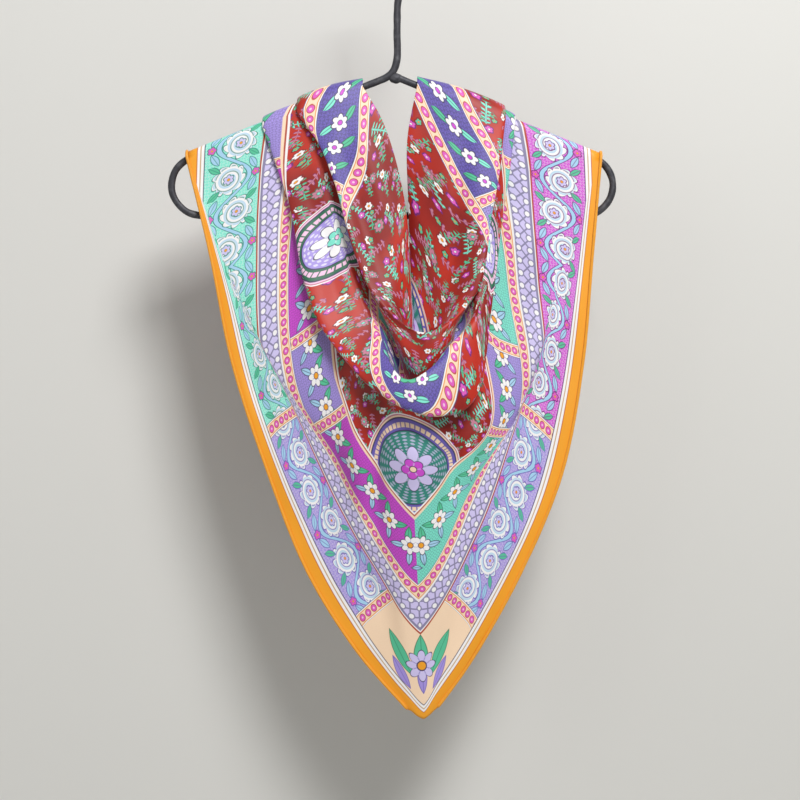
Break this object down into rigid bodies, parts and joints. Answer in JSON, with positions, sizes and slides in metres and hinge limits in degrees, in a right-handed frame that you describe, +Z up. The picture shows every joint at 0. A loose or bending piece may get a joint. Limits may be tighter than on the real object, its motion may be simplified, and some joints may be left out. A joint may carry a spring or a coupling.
{
  "type": "silk square scarf on a wire hanger",
  "caption": "Printed silk square scarf folded on its diagonal, draped in soft cowls over a forged iron hanger.",
  "frame": {"origin": "underside of the hook's crook, where a rail or wall hook carries the hanger", "axes": "+Z up, -Y out of the scarf's front, +X to the right of someone who looks at the front"},
  "size_m": [0.4024, 0.0973, 0.7072],
  "materials": {
    "printed_silk": "printed silk twill with a soft sheen",
    "rolled_hem": "hand-rolled and stitched silk hem, plain",
    "forged_iron": "matt black, lightly hammered"
  },
  "bodies": {
    "root": {"cowl_inner": "printed_silk", "cowl_outer": "printed_silk", "front_drape": "printed_silk", "left_tail": "printed_silk", "right_tail": "printed_silk", "left_front_hem": "rolled_hem", "right_front_hem": "rolled_hem", "left_tail_hem": "rolled_hem", "right_tail_hem": "rolled_hem", "hanger_left_arm": "forged_iron", "hanger_right_arm": "forged_iron", "hanger_left_end": "forged_iron", "hanger_right_end": "forged_iron", "hanger_bar": "forged_iron", "hanger_hook": "forged_iron", "hanger_weld": "forged_iron"}
  },
  "joints": []
}
